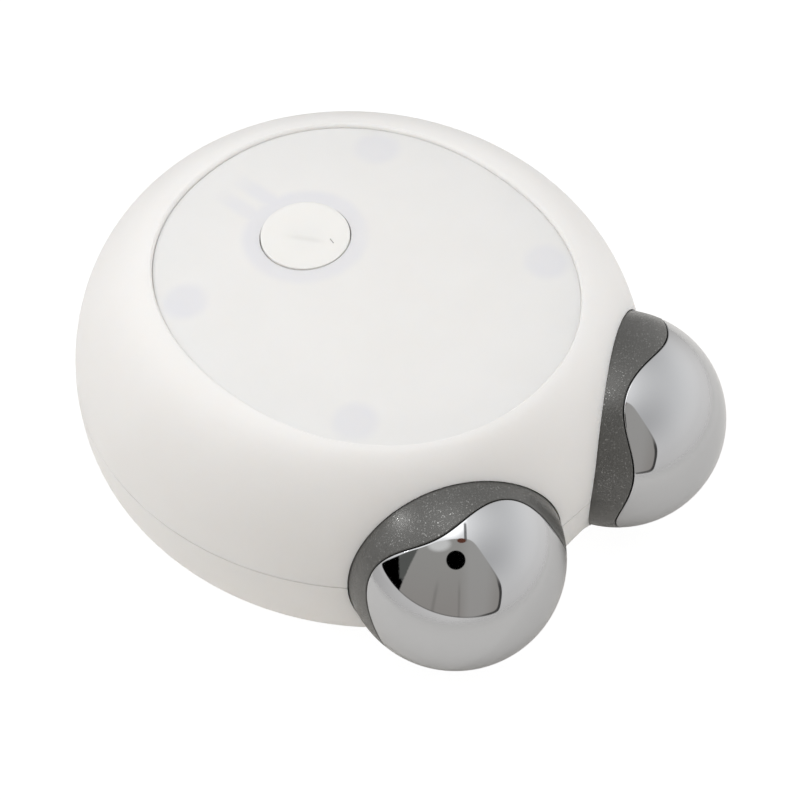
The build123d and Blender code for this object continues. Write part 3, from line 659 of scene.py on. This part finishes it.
def ball_collar(side, name, node):
    """Grey collar: its wavy front, the lip behind the joint, hub, groove and flange."""
    rim = WAVE_ANGLE + degrees(RIM_ROUNDING / BALL_RADIUS)
    rear = degrees(acos(SHOULDER / BALL_RADIUS))
    lip_angle = degrees(acos(LIP_TOP / LIP_OUTER))
    profile = [(PASS_RADIUS, HUB_REAR), (PASS_RADIUS, HUB_TOP)]
    profile += arc(LIP_INNER, degrees(acos(HUB_TOP / LIP_INNER)), degrees(acos(LIP_TOP / LIP_INNER)), 12)
    profile += arc(LIP_OUTER, lip_angle, WAVE_ANGLE, 8)
    profile += round_edge(-1)[::-1]
    profile += arc(BALL_RADIUS, rim + 0.4, rear, 30)
    profile += [
        (NECK_RADIUS, SHOULDER), (NECK_RADIUS, GROOVE_REAR), (FLANGE_RADIUS, GROOVE_REAR),
        (FLANGE_RADIUS, COLLAR_REAR), (BORE_RADIUS, COLLAR_REAR), (BORE_RADIUS, HUB_REAR),
        (PASS_RADIUS, HUB_REAR),
    ]
    form = spun(profile, BALL_STEPS)

    def share_at(angle):
        before = ease(angle, lip_angle + 1, WAVE_ANGLE - 0.2)
        return before * (1 - ease(angle, rim + 1, rear - COLLAR_HOLDS))

    skin = [
        vertex for vertex in form.verts
        if vertex.co.length > SKIN_BOTTOM and vertex.co.z > SHOULDER * MM + WELD
    ]
    bend_to_wave(skin, WAVE_HALF_GAP, share_at)
    put_ball_part(form, side)
    return add_piece(form, name, node, "housing")


# --- Camera, studio and floor ---
def view_axes():
    azimuth, elevation, roll = radians(VIEW_AZIMUTH), radians(VIEW_ELEVATION), radians(VIEW_ROLL)
    back = Vector((sin(azimuth) * cos(elevation), -cos(azimuth) * cos(elevation), sin(elevation)))
    level = Vector((0, 0, 1)).cross(back).normalized()
    over = back.cross(level)
    return level * cos(roll) + over * sin(roll), over * cos(roll) - level * sin(roll), back


def place_camera():
    camera = bpy.data.objects.new("view", bpy.data.cameras.new("view"))
    camera.data.sensor_width = SENSOR_WIDTH
    camera.data.lens = VIEW_LENS
    camera.data.clip_start = 0.01
    turned = Matrix(view_axes()).transposed().to_4x4()
    turned.translation = Vector(VIEW_PLACE) * MM
    camera.matrix_world = turned
    bpy.context.scene.collection.objects.link(camera)
    bpy.context.scene.camera = camera


def seen_from_ball(shade):
    """The way from the left ball to a spot on the tent, and how far across and up from the lens the
    ball mirrors it."""
    ball = [value * MM for value in (-BALL_X, BALL_Y, BALL_Z)]
    spot = shade.node("TexCoord", output=3)
    seen = shade.node("VectorMath", {"operation": "SUBTRACT"}, {0: spot, 1: ball})
    way = shade.node("VectorMath", {"operation": "NORMALIZE"}, {0: seen})
    right, up, back = view_axes()
    depth = 1 + shade.dot(way, back)
    return way, shade.dot(way, right) / depth, shade.dot(way, up) / depth


def oval(across, rise, middle, half):
    """1 on an oval's line and less within it."""
    return ((across - middle[0]) / half[0]) ** 2 + ((rise - middle[1]) / half[1]) ** 2


def opening_depth(across, rise):
    """How far a spot lies within the opening's rounded outline, below 0 outside it, and the same for
    its lower edge alone."""
    inside = None
    for outward, distance, rounding in OPENING_EDGES:
        out = radians(outward)
        edge = distance - (cos(out) * across + sin(out) * rise)
        inside = edge if inside is None else inside.meet(edge, rounding)
    lower = LOW_EDGE_RADIUS - oval(across, rise, LOW_EDGE_MIDDLE, (1, 1)) ** 0.5
    return inside.meet(lower, LOW_EDGE_ROUNDING), lower


def hung_sheet(shade, across, rise):
    """The grey sheet beyond the opening, with a light fold, two creases and a gleam."""
    sheet = shade.mix(rise.rise(-0.55, 0.15), SHEET_LOW, SHEET_HIGH)
    fold = across.rise(0.02, 0.14) * across.rise(0.42, 0.25)
    sheet = shade.mix(0.5 * fold, sheet, SHEET_FOLD)
    slanting = abs(across + 0.12 - 0.22 * rise).rise(0.03, 0.0)
    upright = abs(across - 0.03).rise(0.02, 0.0)
    sheet = shade.mix(0.18 * slanting.most(upright) * rise.rise(-0.12, -0.3), sheet, BLACK)
    gleam = oval(across, rise, (-0.15, 0.15), (0.13, 0.08)).rise(1.0, 0.2)
    return shade.mix(0.75 * gleam, sheet, GLEAM_WHITE)


def sheet_and_room(shade, across, rise, lower):
    """The sheet, and on its left the dim room, which is black in its ragged low corner."""
    ragged = 0.10 * (shade.noise(9, 4, 0.7) - 0.5)
    corner = (lower - 0.13 + ragged).least(across + 0.56 + 0.5 * ragged)
    sheet_side = across + 0.405 - 0.56 * rise + 0.3 * ragged
    in_corner, in_room = (edge.rise(RAGGED_SOFTNESS, -RAGGED_SOFTNESS) for edge in (corner, sheet_side))
    room = shade.mix(in_corner, ROOM_GREY, BLACK)
    return shade.mix(in_room, hung_sheet(shade, across, rise), room)


def tent_colour(shade, way, across, rise, inside, within, lower):
    """The cloth's white, the opening with its dark hem, a hanging wire with its knot, and the lens."""
    fold = 0.10 * (-1 * inside).rise(0.42, 0.0) * across.rise(-0.1, 0.3)
    height = shade.dot(way, (0, 0, 1))
    cloth = shade.mix(fold, shade.mix(height.rise(-0.3, 0.6), TENT_LOW, TENT_HIGH), BLACK)
    colour = shade.mix(within, cloth, sheet_and_room(shade, across, rise, lower))
    low_right = across.rise(*LOW_EDGE_RIGHT) * rise.rise(-0.12, -0.25)
    hem = (inside - 0.010 - 0.014 * low_right).rise(0.010, -0.004) * inside.rise(-0.006, 0.0)
    hem = hem * rise.rise(0.02, -0.25) * (0.45 + 0.55 * low_right)
    colour = shade.mix(0.9 * hem, colour, HEM_BLACK)
    wire = abs(across - 0.085).rise(0.016, 0.008) * rise.rise(0.16, 0.20) * rise.rise(0.36, 0.33)
    colour = shade.mix(0.8 * wire, colour, HEM_BLACK)
    knot = oval(across, rise, (0.05, 0.18), (0.04, 0.022)).rise(1.3, 0.6)
    colour = shade.mix(knot, colour, KNOT_BROWN)
    off_lens = oval(across, rise, (0, 0.01), (1, 1)) ** 0.5 - LENS_RADIUS
    return shade.mix(off_lens.rise(LENS_SOFTNESS, -LENS_SOFTNESS), colour, BLACK)


def tent_brightness(shade, way, across, rise, within):
    """How the cloth glows: broad lobes and a lamp overhead. What the opening shows has its own
    colour's brightness."""
    overhead = oval(across, rise, (-0.06, 0.36), (0.16, 0.16))
    lit = OVERHEAD_GLOW * overhead.rise(1.3, 0.4)
    level = shade.node("VectorMath", {"operation": "MAXIMUM"}, {0: way, 1: (-1, -1, 0)})
    for azimuth, elevation, brightness in TENT_GLOW:
        side, lift = radians(azimuth), radians(elevation)
        middle = (sin(side) * cos(lift), -cos(side) * cos(lift), sin(lift))
        lit = lit + brightness * (GLOW_FOCUS * (shade.dot(level, middle) - 1)).math("EXPONENT")
    return (1 - within) * lit + within


def tent_cloth():
    """The tent's inside, drawn as the left ball mirrors it."""
    material, shade = new_shade("tent_cloth")
    way, across, rise = seen_from_ball(shade)
    inside, lower = opening_depth(across, rise)
    within = inside.rise(-EDGE_SOFTNESS, EDGE_SOFTNESS)
    colour = tent_colour(shade, way, across, rise, inside, within, lower)
    brightness = tent_brightness(shade, way, across, rise, within)
    glow = shade.node("Emission", None, {"Color": shade.brighten(colour, brightness)})
    shade.node("OutputMaterial", None, {"Surface": glow})
    return material


def add_stage(form, name, material):
    """Makes an object of a bmesh that belongs to the studio and not to the device."""
    mesh = bpy.data.meshes.new(name)
    form.to_mesh(mesh)
    form.free()
    mesh.materials.append(material)
    piece = bpy.data.objects.new(name, mesh)
    bpy.context.scene.collection.objects.link(piece)
    return piece


def light_tent():
    """A small white tent all round, with an opening for the lens."""
    form = bmesh.new()
    bmesh.ops.create_icosphere(form, subdivisions=5, radius=TENT_RADIUS * MM)
    bmesh.ops.translate(form, vec=(0, TENT_Y * MM, 0), verts=form.verts)
    tent = add_stage(form, "light_tent", tent_cloth())
    tent.visible_camera = False


def white_room():
    """The white behind the table."""
    world = bpy.data.worlds.new("white_room")
    bpy.context.scene.world = world
    shade = Shade(world)
    white = shade.node("Background", None, {"Color": WHITE, "Strength": 1.0})
    shade.node("OutputWorld", None, {"Surface": white})


def key_lamp():
    """A small square lamp that looks at the device."""
    light = bpy.data.lights.new("key_lamp", "AREA")
    light.energy = LAMP_POWER
    light.size = LAMP_SIZE * MM
    lamp = bpy.data.objects.new("key_lamp", light)
    lamp.visible_camera = False
    toward = Vector(LAMP_DIRECTION).normalized()
    lamp.location = (toward * LAMP_DISTANCE + Vector((0, TENT_Y, LAMP_AIM_Z))) * MM
    lamp.rotation_euler = toward.to_track_quat("Z", "Y").to_euler()
    bpy.context.scene.collection.objects.link(lamp)


def table():
    """The round white table that the device lies on. It fades out into the white room."""
    form = bmesh.new()
    bmesh.ops.create_circle(form, cap_ends=True, segments=128, radius=TABLE_RADIUS * MM)
    bmesh.ops.translate(form, vec=(0, 0, -TABLE_DROP * MM), verts=form.verts)
    material, shade = new_shade("table_white")
    paint = shade.node("BsdfDiffuse", None, {"Color": TABLE_WHITE})
    glow = shade.node("Emission", None, {"Color": WHITE, "Strength": TABLE_GLOW})
    through = shade.node("BsdfTransparent")
    x, y, z = shade.parts(shade.place())
    rim = (x * x + y * y) ** 0.5
    fade = rim.rise(TABLE_CLEAR_RADIUS, TABLE_RADIUS)
    soft = shade.node("MixShader", None, {0: fade, 1: paint, 2: through})
    seen = TABLE_GLOW_SHARE * shade.node("LightPath")
    surface = shade.node("MixShader", None, {0: seen, 1: soft, 2: glow})
    shade.node("OutputMaterial", None, {"Surface": surface})
    add_stage(form, "table", material)


place_camera()
for node_name in frame["nodes"]:
    dress_node(node_name)

welded_shell("upper_housing", "upper_shell", "housing")
welded_shell("lower_housing", "lower_shell", "housing")
welded_shell("top_panel", "frosted_panel", "housing")
welded_shell("power_button", "button_cap", "button")
for ball_side, side_name in ((-1, "left"), (1, "right")):
    ball_cap(ball_side, f"{side_name}_ball_cap", f"{side_name}_electrode")
    ball_collar(ball_side, f"{side_name}_ball_collar", f"{side_name}_collar")

bpy.context.scene.view_settings.view_transform = "Standard"
light_tent()
white_room()
key_lamp()
table()
